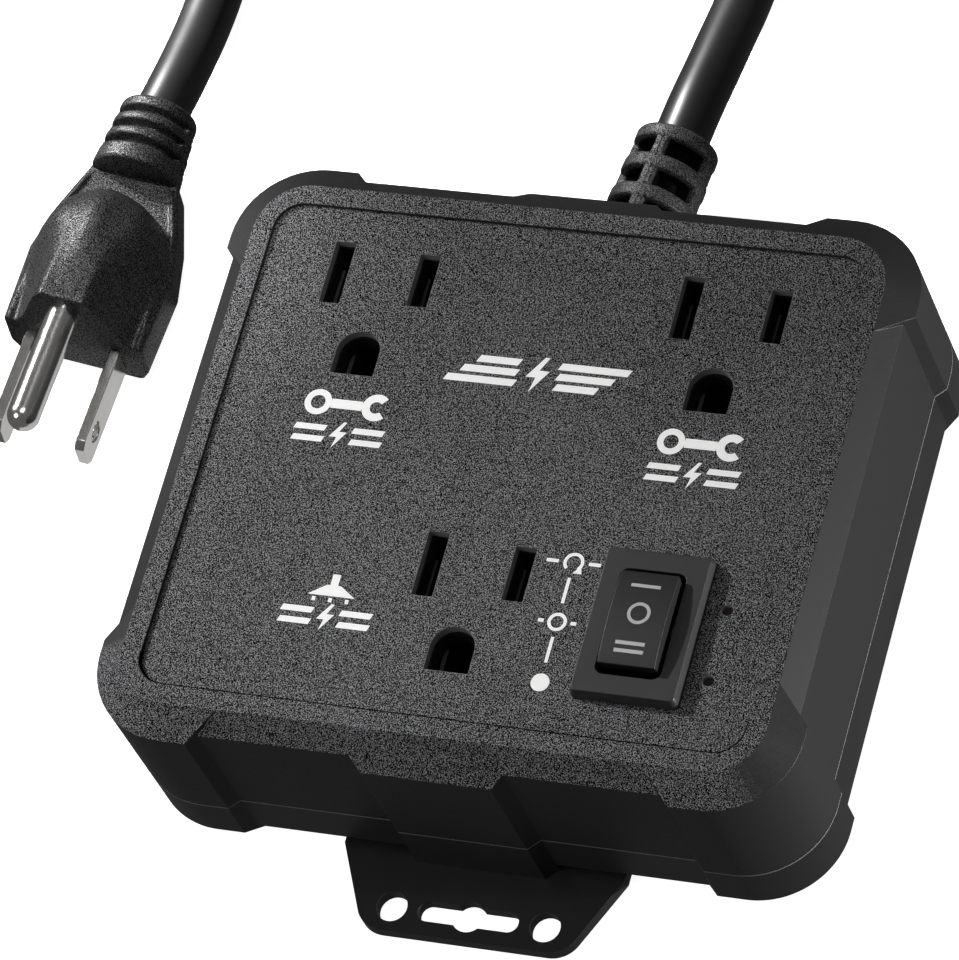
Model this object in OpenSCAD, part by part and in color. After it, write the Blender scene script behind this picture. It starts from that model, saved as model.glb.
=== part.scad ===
// Switched three-outlet power box on a short mains lead.
// X is the box's width, +Y points to the back wall where the lead leaves, +Z is up.
// The origin is the middle of the box on the surface that it lies on.

/* [Box] */
// Width between the side walls
body_w = 97.6; // [96:0.2:100]
// Depth between the front and back walls
body_d = 86.2; // [85:0.2:88]
// Height of the closed box
body_h = 34.2; // [33.8:0.2:36]
// Height of the line where cover and tray meet
parting_h = 11.5; // [11.3:0.1:12]
// Thickness of the side walls
wall_t = 2.6; // [2.4:0.1:2.8]
// Thickness of the face plate
face_t = 2.2; // [2:0.1:2.4]
// Bevel between the face and the side walls
edge_bevel = 2.9; // [2.5:0.1:3.2]
// Corner radius of the flat face
face_r = 7.5; // [6:0.5:8]
// Width of the rim around the sunk panel
rim_w = 2.9; // [2.4:0.1:3.2]
// Depth of the sunk panel
panel_sink = 0.6; // [0.4:0.1:0.8]
// Corner radius of the sunk panel
panel_r = 4; // [3:0.5:5]

/* [Corner guards] */
// How far a corner guard stands out of the walls
guard_t = 1.4; // [1:0.1:1.6]
// Drop of a guard's sloped top
guard_drop = 3; // [2.6:0.1:3.2]
// Length of straight front or back wall between the guards
guard_gap_x = 65.8; // [62:0.2:68]
// Length of straight side wall between the guards
guard_gap_y = 58.6; // [54:0.2:62]

/* [Middle pads] */
// Width of the raised pad in the middle of the front and back walls
pad_w = 21.8; // [18:0.2:24]
// How far the pad stands out
pad_t = 1.6; // [1:0.1:2]

/* [Mounting tabs] */
// Thickness of a tab
tab_t = 2; // [1.6:0.1:2.6]
// Distance of the screw holes from the box's middle
tab_hole_y = 51.6; // [51:0.1:52.5]
// Spacing of the two screw holes of one tab
tab_hole_gap = 22.2; // [21:0.2:23]
// Diameter of a screw hole
tab_hole_d = 4.4; // [4:0.1:4.6]

/* [Outlets] */
// Sideways distance of the two tool outlets from the middle
outlet_x = 25.5; // [25.2:0.1:25.8]
// Slot line of the two tool outlets
tool_y = 27.4; // [27.2:0.1:27.6]
// Slot line of the vacuum outlet
vac_y = -14.9; // [-15.1:0.1:-14.7]

/* [Switch] */
// Middle of the rocker switch, sideways
switch_x = 25.6; // [25.2:0.1:26]
// Middle of the rocker switch, front to back
switch_y = -20.9; // [-21.2:0.1:-20.6]
// Travel of the rocker each way from its middle position, in degrees
rocker_swing = 10; // [8:1:11]

/* [Mains lead] */
// Diameter of the lead
cord_d = 8; // [7.6:0.1:8.2]
// Width of the plug
plug_w = 21.8; // [21.4:0.1:22.6]

/* [Hidden] */

$fn = 48;
eps = 0.01;

// Standard three-pin plug geometry
pin_gap = 12.7;
ground_gap = 11.9;
slot_w = 3;
neutral_slot_l = 9.6;
hot_slot_l = 8.1;
ground_r = 3.15;

// Face and wall sizes
face_w = body_w - 2 * edge_bevel;
face_d = body_d - 2 * edge_bevel;
wall_r = face_r + edge_bevel;
panel_z = body_h - panel_sink;
ceiling_z = panel_z - face_t;
floor_t = 2.6;
foot_bevel = 3.7;
inner_w = body_w - 2 * wall_t;
inner_d = body_d - 2 * wall_t;
inner_r = wall_r - wall_t;
lip_t = 1.2;
lip_h = 2;
fit_gap = 0.1;

// Cover screws, one in each corner
boss_x = 42;
boss_y = 36.4;
boss_r = 4.6;

// Receptacle blocks and their contacts
block_w = 21;
block_front = 17.8;
block_back = 6.4;
block_z = 15.2;
bus_t = 0.8;
bus_z = block_z - bus_t;
bus_w = 3.6;
grip_top = 28.6;
grip_gap = 2.4;
grip_l = 6;
ground_grip_gap = 4.8;
ground_grip_l = 5.4;
leaf_t = 0.6;
tail_w = 3;
tail_t = 0.8;
neutral_bus_y = [31, 35];
hot_bus_y = [19.8, 23.8];
neutral_tails = [[-9, 33], [-25, 33]];
hot_tail = [9, 21.8];
ground_tail = [5, tool_y - ground_gap];
retainer_t = 2;
tail_z = 9.4;
retainer_z = bus_z - retainer_t;
post_r = 2.8;
tool_posts = [[-39.5, 22], [0, 27.4], [39.5, 22]];
vac_posts = [[-14.2, -20], [14.2, -20]];

// Switch
bezel_w = 15.2;
bezel_l = 22;
bezel_z = body_h + 1.4;
window_w = 9.2;
window_l = 15.6;
case_w = 12.8;
case_l = 19;
case_z = 14.6;
case_t = 1.4;
pivot_z = 33.2;
rocker_w = 8.1;
rocker_l = 13.8;
rocker_top = 37.6;
rocker_crown_r = 34;
pivot_r = 1.45;
pivot_play = 0.05;
arm_z = 20.6;
arm_r = 0.8;
contact_z = 19.3;
contact_y = 6.6;
terminal_z = 6;
terminal_w = 4.8;

// Circuit board
board_box = [[-37, -36], [12, 4]];
board_z = 6.4;
board_t = 1.6;
pad_z = board_z + board_t;
board_holes = [[-34, -16.5], [9, -33], [9, 1], [-18.5, 1]];
led_x = 36.1;
led_ys = [-16.6, -27];
led_board_z = 25;

// Strain relief: its root on the back wall and the way it leans
relief_x = 0.4;
relief_lean = 6.8;
relief_l = 19.2;
relief_r0 = 6.3;
relief_r1 = 5.7;
relief_neck_r = 5.25;
relief_flange_r = 7;
relief_band = 2.5;
relief_window = 2.5;
relief_y = body_d / 2 + pad_t;
lead_y = inner_d / 2 - 2.2;

// Free lead: hand-set route from the strain relief to the coil, and from the coil to the plug
lead_route = [[2.7, 64.7, 11.5], [3.4, 71, 11.35], [4, 77, 10.6], [4.4, 83, 9.5], [4.7, 89, 8.2],
    [4.7, 95, 6.8], [4.5, 101, 5.5], [4.4, 107, 4.6], [4.9, 114, 4.1], [6.2, 123, 4], [8.4, 134, 4],
    [10.8, 146, 4], [12, 158, 4]];
tail_route = [[-84, 158, 4], [-83.8, 147, 4], [-83, 136, 4], [-81.9, 125, 4], [-80.4, 114, 4],
    [-78.8, 104, 4.05], [-77.4, 95, 4.5], [-76.5, 86.5, 5.6], [-76.15, 79.5, 6.9], [-76.1, 73.5, 8.2],
    [-76.35, 67.8, 9.3], [-76.95, 62.4, 9.95]];
coil_x = -36;
coil_y = 158;
coil_r = 44;
coil_band = 2 * cord_d;

// Plug: the middle of its front face, the way it points, and its roll onto one lower edge
plug_at = [-80.75, 25.1];
plug_turn = -3.6;
plug_roll = 10;
plug_foot_inset = 1.3;
plug_lift = (plug_w / 2 - plug_foot_inset) * sin(plug_roll);
plug_l = 27;
plug_slab_h = 9.8;
plug_h = 19.8;
plug_axis_z = 8.4;
plug_neck_l = 10.6;
grip_r = 9;
grip_y = 10.6;
blade_z = 4.7;
blade_t = 1.5;
blade_w = 6.35;
blade_l = 16;
blade_hole_r = 1.6;
blade_hole_y = 11.7;
pin_r = 2.38;
pin_l = 19.3;

// ---- shared shapes ----

module round_rect(w, d, r) {
    square([w - 2 * r, d], center = true);
    square([w, d - 2 * r], center = true);
    for (x = [-1, 1], y = [-1, 1])
        translate([x * (w / 2 - r), y * (d / 2 - r)]) circle(r);
}

module slab(w, d, r, z, h = eps) {
    translate([0, 0, z]) linear_extrude(h) round_rect(w, d, r);
}

module box(x0, x1, y0, y1, z0, z1) {
    translate([x0, y0, z0]) cube([x1 - x0, y1 - y0, z1 - z0]);
}

module at_corners(x, y) {
    for (sx = [-1, 1], sy = [-1, 1]) translate([sx * x, sy * y, 0]) children();
}

// Plan of one corner, cut off at 45 degrees on both sides
module guard_mask() {
    reach = 12;
    x0 = guard_gap_x / 2;
    y0 = guard_gap_y / 2;
    for (sx = [-1, 1], sy = [-1, 1]) scale([sx, sy])
        polygon([[x0 - reach, body_d / 2 - reach], [x0 + reach, body_d / 2 + reach],
            [body_w / 2 + reach, body_d / 2 + reach], [body_w / 2 + reach, y0 + reach],
            [body_w / 2 - reach, y0 - reach]]);
}

// Plan of the two wall pads, with 45 degree ends
module pad_mask() {
    for (s = [-1, 1]) scale([1, s])
        polygon([[-pad_w / 2, body_d / 2 - 3], [-pad_w / 2, body_d / 2],
            [-pad_w / 2 + pad_t, body_d / 2 + pad_t], [pad_w / 2 - pad_t, body_d / 2 + pad_t],
            [pad_w / 2, body_d / 2], [pad_w / 2, body_d / 2 - 3]]);
}

// Outline of the walls with guards and pads
module wall_plan() {
    round_rect(body_w, body_d, wall_r);
    intersection() {
        round_rect(body_w + 2 * guard_t, body_d + 2 * guard_t, wall_r + guard_t);
        guard_mask();
    }
    pad_mask();
}

// Slots of one outlet, as a plan
module outlet_plan() {
    translate([-pin_gap / 2, 0]) square([slot_w, neutral_slot_l], center = true);
    translate([pin_gap / 2, 0]) square([slot_w, hot_slot_l], center = true);
    translate([0, -ground_gap]) circle(ground_r);
    translate([-ground_r, -ground_gap - 3.5]) square([2 * ground_r, 3.5]);
}

module at_outlets() {
    translate([-outlet_x, tool_y, 0]) children();
    translate([outlet_x, tool_y, 0]) children();
    translate([0, vac_y, 0]) children();
}

// Countersunk or pan-head screw standing on its tip, head at the bottom
module screw(shank_r, shank_l, head_r, head_h) {
    difference() {
        union() {
            cylinder(r = head_r, h = head_h);
            cylinder(r = shank_r, h = head_h + shank_l);
        }
        for (a = [0, 90]) rotate([0, 0, a])
            translate([-head_r * 0.6, -0.4, -eps]) cube([head_r * 1.2, 0.8, head_h * 0.5]);
    }
}

// ---- housing ----

module cover_outside() {
    wall_top = body_h - edge_bevel;
    hull() {
        slab(body_w, body_d, wall_r, parting_h, wall_top - parting_h);
        slab(face_w, face_d, face_r, body_h - eps);
    }
    intersection() {
        hull() {
            slab(body_w + 2 * guard_t, body_d + 2 * guard_t, wall_r + guard_t, parting_h,
                body_h - guard_drop - parting_h);
            slab(face_w, face_d, face_r, body_h - eps);
        }
        linear_extrude(body_h) guard_mask();
    }
    intersection() {
        hull() {
            slab(body_w, body_d + 2 * pad_t, wall_r, parting_h, wall_top - pad_t - parting_h);
            slab(face_w, face_d, face_r, body_h - eps);
        }
        linear_extrude(body_h) pad_mask();
    }
}

module top_cover() {
    color([0.13, 0.13, 0.135]) difference() {
        union() {
            difference() {
                cover_outside();
                slab(inner_w, inner_d, inner_r, parting_h - eps, ceiling_z - parting_h + eps);
            }
            at_corners(boss_x, boss_y)
                translate([0, 0, parting_h]) cylinder(r = boss_r, h = ceiling_z + eps - parting_h);
            for (p = concat(tool_posts, vac_posts))
                translate([p[0], p[1], bus_z]) cylinder(r = post_r, h = ceiling_z + eps - bus_z);
            for (y = led_ys)
                translate([led_x + 5.4, y, led_board_z + 1]) cylinder(r = 1.8, h = ceiling_z - led_board_z);
        }
        slab(face_w - 2 * rim_w, face_d - 2 * rim_w, panel_r, panel_z, 2);
        at_outlets() translate([0, 0, ceiling_z - 1]) linear_extrude(face_t + 4) outlet_plan();
        box(switch_x - case_w / 2 - fit_gap, switch_x + case_w / 2 + fit_gap,
            switch_y - case_l / 2 - fit_gap, switch_y + case_l / 2 + fit_gap, ceiling_z - 1, body_h + 1);
        for (y = led_ys)
            translate([led_x, y, ceiling_z - 1]) cylinder(r = 0.8, h = face_t + 3);
        at_corners(boss_x, boss_y)
            translate([0, 0, parting_h - 1]) cylinder(r = 1.25, h = 14);
        for (p = concat(tool_posts, vac_posts))
            translate([p[0], p[1], bus_z - 1]) cylinder(r = 1, h = 11);
        translate([relief_x, inner_d / 2 - 2, parting_h]) rotate([-90, 0, 0])
            cylinder(r = relief_neck_r + 0.05, h = wall_t + pad_t + 4);
    }
}

// Outline of one mounting tab, for the front
module tab_plan() {
    root = 41;
    hull() {
        translate([-20.4, -root - 2.2]) square([40.8, 2]);
        for (s = [-1, 1]) translate([s * 12, -tab_hole_y + 0.6]) circle(4.2);
    }
}

module tab_holes() {
    for (s = [-1, 1])
        translate([s * tab_hole_gap / 2, -tab_hole_y, -1]) cylinder(d = tab_hole_d, h = tab_t + 2);
    translate([0, -tab_hole_y, -1]) linear_extrude(tab_t + 2) {
        square([11.6, 3], center = true);
        for (s = [-1, 1]) translate([s * 5.8, 0]) circle(1.5);
        circle(2.3);
    }
}

module bottom_cover() {
    color([0.12, 0.12, 0.125]) difference() {
        union() {
            difference() {
                union() {
                    translate([0, 0, foot_bevel]) linear_extrude(parting_h - foot_bevel) wall_plan();
                    hull() {
                        slab(body_w, body_d, wall_r, foot_bevel);
                        slab(body_w - 2 * foot_bevel, body_d - 2 * foot_bevel, wall_r - foot_bevel, 0);
                    }
                    intersection() {
                        hull() {
                            slab(body_w + 2 * guard_t, body_d + 2 * guard_t, wall_r + guard_t,
                                foot_bevel);
                            slab(body_w - 2 * foot_bevel, body_d - 2 * foot_bevel,
                                wall_r - foot_bevel, 0);
                        }
                        linear_extrude(body_h) guard_mask();
                    }
                    linear_extrude(foot_bevel + eps) pad_mask();
                }
                slab(inner_w - 1.2, inner_d - 1.2, inner_r - 0.6, floor_t, parting_h);
            }
            difference() {
                slab(inner_w - 2 * fit_gap, inner_d - 2 * fit_gap, inner_r - fit_gap,
                    parting_h - 3, 3 + lip_h);
                slab(inner_w - 2 * lip_t, inner_d - 2 * lip_t, inner_r - lip_t, parting_h - 4, 9);
                at_corners(boss_x, boss_y)
                    translate([0, 0, parting_h]) cylinder(r = boss_r + 0.2, h = 9);
                box(relief_x - 8, relief_x + 8, 30, 50, parting_h, parting_h + 9);
            }
            at_corners(boss_x, boss_y) translate([0, 0, 1]) cylinder(r = boss_r, h = parting_h - 1);
            for (p = board_holes) translate([p[0], p[1], 1]) cylinder(r = 2.4, h = board_z - 1);
            for (s = [0, 180]) rotate([0, 0, s]) linear_extrude(tab_t) tab_plan();
        }
        for (s = [0, 180]) rotate([0, 0, s]) tab_holes();
        at_corners(boss_x, boss_y) {
            translate([0, 0, -1]) cylinder(r = 1.7, h = parting_h + 2);
            translate([0, 0, -1]) cylinder(r = 3.1, h = 4);
        }
        for (p = board_holes) translate([p[0], p[1], floor_t]) cylinder(r = 0.9, h = 9);
        box(relief_x - 7.4, relief_x + 7.4, 37, inner_d / 2, floor_t, parting_h + 9);
        translate([relief_x, inner_d / 2 - 2, parting_h]) rotate([-90, 0, 0])
            cylinder(r = relief_neck_r + 0.05, h = wall_t + pad_t + 4);
    }
}

module cover_screws() {
    color("silver") at_corners(boss_x, boss_y) translate([0, 0, 0.8]) screw(1.2, 16, 2.8, 2.2);
}

// ---- receptacles and contacts ----

// Block under one outlet: a slotted top and a pocket round each contact
module receptacle() {
    pocket = 3.2;
    color([0.2, 0.2, 0.21]) translate([0, 0, block_z]) difference() {
        box(-block_w / 2, block_w / 2, -block_front, block_back, 0, ceiling_z - block_z);
        translate([0, 0, -1]) linear_extrude(body_h) outlet_plan();
        for (s = [-1, 1])
            box(s * pin_gap / 2 - pocket, s * pin_gap / 2 + pocket, -5, 5, -1, grip_top + 0.4 - block_z);
        box(-4.2, 4.2, -ground_gap - 3.7, -ground_gap + 3.4, -1, grip_top + 0.4 - block_z);
    }
}

module receptacle_left() {
    translate([-outlet_x, tool_y, 0]) receptacle();
}

module receptacle_right() {
    translate([outlet_x, tool_y, 0]) receptacle();
}

module receptacle_vac() {
    translate([0, vac_y, 0]) receptacle();
}

// Pair of spring leaves with their base, gap measured between the leaves
module grip(gap, length) {
    for (s = [-1, 1])
        translate([s * (gap + leaf_t) / 2 - leaf_t / 2, -length / 2, bus_z])
            cube([leaf_t, length, grip_top - bus_z]);
    box(-gap / 2 - leaf_t, gap / 2 + leaf_t, -length / 2, length / 2, bus_z, bus_z + bus_t);
}

// Solder tail that goes down through a retainer to height z
module tail(p, z = tail_z) {
    box(p[0] - tail_w / 2, p[0] + tail_w / 2, p[1] - tail_t / 2, p[1] + tail_t / 2, z, bus_z + bus_t);
}

module neutral_bus() {
    color("gold") {
        for (x = [-outlet_x - pin_gap / 2, outlet_x - pin_gap / 2]) {
            translate([x, tool_y, 0]) grip(grip_gap, grip_l);
            box(x - bus_w / 2, x + bus_w / 2, tool_y, neutral_bus_y[1], bus_z, bus_z + bus_t);
        }
        box(-outlet_x - (pin_gap + bus_w) / 2, outlet_x - (pin_gap - bus_w) / 2, neutral_bus_y[0],
            neutral_bus_y[1], bus_z, bus_z + bus_t);
        for (p = neutral_tails) tail(p);
    }
}

module tool_hot_bus() {
    color("gold") {
        for (x = [-outlet_x + pin_gap / 2, outlet_x + pin_gap / 2]) {
            translate([x, tool_y, 0]) grip(grip_gap, grip_l);
            box(x - bus_w / 2, x + bus_w / 2, hot_bus_y[0], tool_y, bus_z, bus_z + bus_t);
        }
        box(-outlet_x + (pin_gap - bus_w) / 2, outlet_x + (pin_gap + bus_w) / 2, hot_bus_y[0],
            hot_bus_y[1], bus_z, bus_z + bus_t);
        tail(hot_tail);
    }
}

module ground_bus() {
    y = tool_y - ground_gap;
    color("gold") {
        for (p = [[-outlet_x, y], [outlet_x, y], [0, vac_y - ground_gap]])
            translate([p[0], p[1], 0]) grip(ground_grip_gap, ground_grip_l);
        box(-outlet_x, outlet_x, y - bus_w / 2, y + bus_w / 2, bus_z, bus_z + bus_t);
        box(-bus_w / 2, bus_w / 2, vac_y - ground_gap, y, bus_z, bus_z + bus_t);
        tail(ground_tail);
    }
}

module vac_neutral_contact() {
    color("gold") {
        translate([-pin_gap / 2, vac_y, 0]) grip(grip_gap, grip_l);
        tail([-pin_gap / 2, vac_y], pad_z);
    }
}

module vac_hot_contact() {
    color("gold") {
        translate([pin_gap / 2, vac_y, 0]) grip(grip_gap, grip_l);
        tail([pin_gap / 2, vac_y], pad_z);
    }
}

module tail_slot(p) {
    play = 0.5;
    box(p[0] - tail_w / 2 - play, p[0] + tail_w / 2 + play, p[1] - tail_t / 2 - play,
        p[1] + tail_t / 2 + play, 0, body_h);
}

module tool_retainer() {
    color([0.2, 0.2, 0.21]) difference() {
        union() {
            box(-36, 36, 10, 30.6, retainer_z, bus_z);
            box(-36, -7, 30.5, 36, retainer_z, bus_z);
            box(7, 36, 30.5, 36, retainer_z, bus_z);
            for (s = [-1, 1]) box(s * 39 - 3.4, s * 39 + 3.4, 18.4, 25.6, retainer_z, bus_z);
        }
        for (p = tool_posts) translate([p[0], p[1], 0]) cylinder(r = 1.3, h = body_h);
        for (p = concat(neutral_tails, [hot_tail, ground_tail])) tail_slot(p);
    }
}

module vac_retainer() {
    color([0.2, 0.2, 0.21]) difference() {
        union() {
            box(-11, 11, vac_y - block_front, vac_y + block_back, retainer_z, bus_z);
            box(-17, 17, -23, -17, retainer_z, bus_z);
        }
        for (p = vac_posts) translate([p[0], p[1], 0]) cylinder(r = 1.3, h = body_h);
        for (s = [-1, 1]) tail_slot([s * pin_gap / 2, vac_y]);
    }
}

module retainer_screws() {
    color("silver") for (p = concat(tool_posts, vac_posts))
        translate([p[0], p[1], retainer_z - 1.4]) screw(0.95, 11, 2.2, 1.4);
}

// ---- switch ----

module switch_body() {
    color([0.1, 0.1, 0.105]) translate([switch_x, switch_y, 0]) difference() {
        union() {
            hull() {
                slab(bezel_w, bezel_l, 0.8, panel_z, 0.6);
                slab(bezel_w - 0.8, bezel_l - 0.8, 0.6, bezel_z - eps);
            }
            box(-case_w / 2, case_w / 2, -case_l / 2, case_l / 2, case_z, panel_z + eps);
        }
        slab(window_w, window_l, 1.2, case_z + case_t, body_h);
        for (y = [-contact_y, 0, contact_y])
            box(-terminal_w / 2 - 0.1, terminal_w / 2 + 0.1, y - 0.5, y + 0.5, case_z - 1,
                case_z + case_t + 1);
        translate([-window_w / 2 - 1.3, 0, pivot_z]) rotate([0, 90, 0])
            cylinder(r = pivot_r + pivot_play, h = window_w + 2.6);
    }
}

// Side outline of the rocker: crowned top, sloped ends, flat underside
module rocker_side() {
    crown_z = rocker_top - pivot_z;
    steps = 12;
    function crown(y) = crown_z - rocker_crown_r + sqrt(pow(rocker_crown_r, 2) - y * y);
    polygon(concat(
        [for (i = [0:steps]) let (y = -rocker_l / 2 + rocker_l * i / steps) [y, crown(y)]],
        [[6.4, 1.2], [4.2, -3], [-4.2, -3], [-6.4, 1.2]]));
}

module switch_rocker() {
    color([0.16, 0.16, 0.17]) translate([switch_x, switch_y, pivot_z]) difference() {
        union() {
            rotate([90, 0, 90]) translate([0, 0, -rocker_w / 2]) linear_extrude(rocker_w) rocker_side();
            rotate([0, 90, 0]) translate([0, 0, -window_w / 2 - 1.2])
                cylinder(r = pivot_r, h = window_w + 2.4);
        }
        translate([0, 0, -4]) cylinder(r = 1.5, h = 5);
    }
}

module rocker_plunger() {
    tip_z = arm_z + 2.2;
    color("white") translate([switch_x, switch_y, 0]) {
        translate([0, 0, tip_z]) sphere(r = 1.2);
        translate([0, 0, tip_z]) cylinder(r = 1.2, h = pivot_z + 0.9 - tip_z);
        translate([0, 0, pivot_z - 0.6]) cylinder(r = 1.5, h = 1.6);
    }
}

// Rocking copper arm on the middle terminal, shallow V so that the plunger sits in it
module switch_contact_arm() {
    color("goldenrod") translate([switch_x, switch_y, arm_z]) {
        rotate([90, 0, 90]) translate([0, 0, -1.9]) linear_extrude(3.8)
            polygon([[-7, 1], [0, 0.2], [7, 1], [7, 0.4], [0, -0.4], [-7, 0.4]]);
        for (s = [-1, 1]) translate([0, s * 6.2, -0.6]) cylinder(r = 1.2, h = 1.4);
        rotate([0, 90, 0]) translate([0, 0, -1.9]) cylinder(r = arm_r, h = 3.8);
    }
}

module switch_terminals() {
    color("silver") translate([switch_x, switch_y, 0]) {
        for (y = [-contact_y, contact_y]) {
            box(-terminal_w / 2, terminal_w / 2, y - 0.4, y + 0.4, terminal_z, contact_z - 0.8);
            box(-terminal_w / 2, terminal_w / 2, y - 1, y + 1, contact_z - 0.8, contact_z);
        }
        difference() {
            box(-terminal_w / 2, terminal_w / 2, -0.4, 0.4, terminal_z, arm_z + 0.3);
            box(-2, 2, -1, 1, arm_z - arm_r - pivot_play, arm_z + 2);
        }
    }
}

// ---- electronics ----

module circuit_board() {
    color([0.1, 0.35, 0.2]) difference() {
        box(board_box[0][0], board_box[1][0], board_box[0][1], board_box[1][1], board_z, pad_z);
        for (p = board_holes) translate([p[0], p[1], 0]) cylinder(r = 1.2, h = 20);
    }
}

module board_screws() {
    color("silver") for (p = board_holes)
        translate([p[0], p[1], pad_z + 1.3]) rotate([180, 0, 0]) screw(0.85, 4, 1.9, 1.3);
}

module relay() {
    color([0.15, 0.25, 0.5]) difference() {
        box(-36.5, -17.5, -35, -19.5, pad_z, pad_z + 15.3);
        translate([-34.5, -21.5, 22.9]) cylinder(r = 0.7, h = 2);
    }
}

module current_transformer() {
    color([0.75, 0.55, 0.15]) translate([-34, -5, pad_z + 8.6]) rotate([0, 90, 0])
        difference() {
            cylinder(r = 8.6, h = 7);
            translate([0, 0, -1]) cylinder(r = 4, h = 9);
        }
}

module supply_capacitor() {
    color([0.75, 0.7, 0.1]) box(-14, 1, -31.6, -22.8, pad_z, pad_z + 3.6);
}

module controller_chip() {
    color([0.1, 0.1, 0.1]) difference() {
        box(-10, 0, -10, -3.6, pad_z, pad_z + 3.3);
        translate([-10, -6.8, pad_z + 2.9]) cylinder(r = 0.8, h = 1);
    }
}

module led_board() {
    color([0.1, 0.35, 0.2]) difference() {
        box(led_x - 2.6, led_x + 8, led_ys[1] - 3, led_ys[0] + 3, led_board_z, led_board_z + 1);
        for (y = led_ys) translate([led_x + 5.4, y, led_board_z - 1]) cylinder(r = 0.6, h = 3);
    }
}

module indicator_leds() {
    color([0.9, 0.9, 0.85, 0.8]) for (y = led_ys) translate([led_x, y, led_board_z + 1]) {
        cylinder(r = 1.9, h = 1);
        cylinder(r = 1.5, h = 4.4);
        cylinder(r = 0.7, h = panel_z - 0.7 - led_board_z - 1);
    }
}

// Tube swept along a route of points: a ring of corners square to the route at each point.
// The side vector is any direction that the route never runs along.
function tangent(route, i) =
    let (a = route[max(i - 1, 0)], b = route[min(i + 1, len(route) - 1)], v = b - a) v / norm(v);
function ring(p, t, r, side, sides) =
    let (s = cross(t, side), u = s / norm(s), w = cross(u, t))
    [for (k = [0:sides - 1]) p + r * (cos(360 * k / sides) * u + sin(360 * k / sides) * w)];

module tube(route, d, side = [0, 0, 1], sides = 12) {
    n = len(route);
    corners = [for (i = [0:n - 1]) each ring(route[i], tangent(route, i), d / 2, side, sides)];
    walls = [for (i = [0:n - 2], k = [0:sides - 1])
        let (m = (k + 1) % sides)
        [i * sides + k, i * sides + m, (i + 1) * sides + m, (i + 1) * sides + k]];
    polyhedron(corners, concat(walls, [[for (k = [sides - 1:-1:0]) k],
        [for (k = [0:sides - 1]) (n - 1) * sides + k]]), convexity = 6);
}

// Hand-set routes of the wires inside the box
wire_d = 2.2;
wire_sides = 8;
led_wire_d = 1.4;
hot_route = [[3.4, lead_y - 0.1, 11], [3.4, lead_y - 1.4, 11], [3.2, 35, 9], [2.2, 31.6, 6.8],
    [-0.6, 25, 5.6], [-5, 17, 5.8], [-9.6, 11, 7], [-14.5, 5.6, 9.8], [-19, 0.5, 13.5], [-23.5, -3.8, 16.2],
    [-27, -5, 16.6], [-34, -5, 16.6], [-36.4, -5.8, 15.2], [-36.8, -7.2, 12.4], [-36, -8, 10],
    [-36, -8, pad_z]];
neutral_route = [[-2.6, lead_y - 0.1, 11], [-2.6, lead_y - 1.4, 11], [-3.2, 35.4, 8.6], [-4.6, 34.4, 6.4],
    [-6.8, 33.6, 5.2], [-8.7, 33, 6.4], [-9, 33, 8], [-9, 33, tail_z]];
ground_route = [[0.4, lead_y - 0.1, 13.1], [0.4, lead_y - 1.4, 13.1], [2.8, 34.6, 13.1],
    [5.4, 32, 11.2], [7, 28, 8], [7.2, 22, 5.6], [6, 17.6, 5.2], [5.1, 15.8, 6.4], [5, 15.5, 8],
    [5, 15.5, tail_z]];
tool_route = [[9, 21.8, tail_z], [9, 21.8, 8], [9.4, 20.8, 6.4], [10.2, 18, 5.6], [10.2, 12, 6.6],
    [8.5, 7, 9.6], [5.4, 2.4, 10.8], [4.1, 0.8, 10.2], [4, 0.6, 9.4], [4, 0.6, pad_z]];
board_neutral_route = [[-25, 33, tail_z], [-25, 33, 8], [-25, 32, 6.2], [-25, 26, 5], [-25, 14, 5],
    [-24.8, 8.4, 7], [-24.6, 5, 9.8], [-24.5, 3, 10.4], [-24.5, 2.4, 9.6], [-24.5, 2.4, pad_z]];
led_route = [[40, -14.6, led_board_z], [40, -14.6, 22], [40, -12.6, 12], [39, -10.6, 5.2],
    [32, -8.6, 4], [20, -7, 4.2], [14.4, -6, 5.4], [13.2, -5.6, 8], [11.6, -5.4, 9.9],
    [10.3, -5.4, 9.8], [10, -5.4, 9], [10, -5.4, pad_z]];
function switch_route(y, pad_y) = [[switch_x, y, terminal_z], [switch_x, y, terminal_z - 0.9],
    [24.2, y, 4], [22.6, y, 4],
    [17, (y + pad_y) / 2, 4.4], [14.2, pad_y, 6.2], [13.4, pad_y, 8.8], [12, pad_y, 10.4],
    [10.4, pad_y, 10.6], [9.8, pad_y, 9.6], [9.8, pad_y, pad_z]];

module wire(route, side, d = wire_d) {
    tube(route, d, side, wire_sides);
}

module hot_lead() {
    color([0.08, 0.08, 0.08]) wire(hot_route, [1, -1, 0]);
}

module neutral_lead() {
    color("white") wire(neutral_route, [1, -1, 0]);
}

module ground_lead() {
    color("green") wire(ground_route, [1, 0, 0]);
}

module tool_lead() {
    color([0.08, 0.08, 0.08]) wire(tool_route, [1, 0, 0]);
}

module board_neutral_lead() {
    color("white") wire(board_neutral_route, [1, 0, 0]);
}

module switch_leads() {
    color("orange") {
        wire(switch_route(switch_y + contact_y, -11.4), [0, 1, 0]);
        wire(switch_route(switch_y, -18), [0, 1, 0]);
        wire(switch_route(switch_y - contact_y, -24.6), [0, 1, 0]);
    }
}

module led_lead() {
    color("red") wire(led_route, [0, 1, 0], led_wire_d);
}

// ---- mains lead ----

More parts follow.
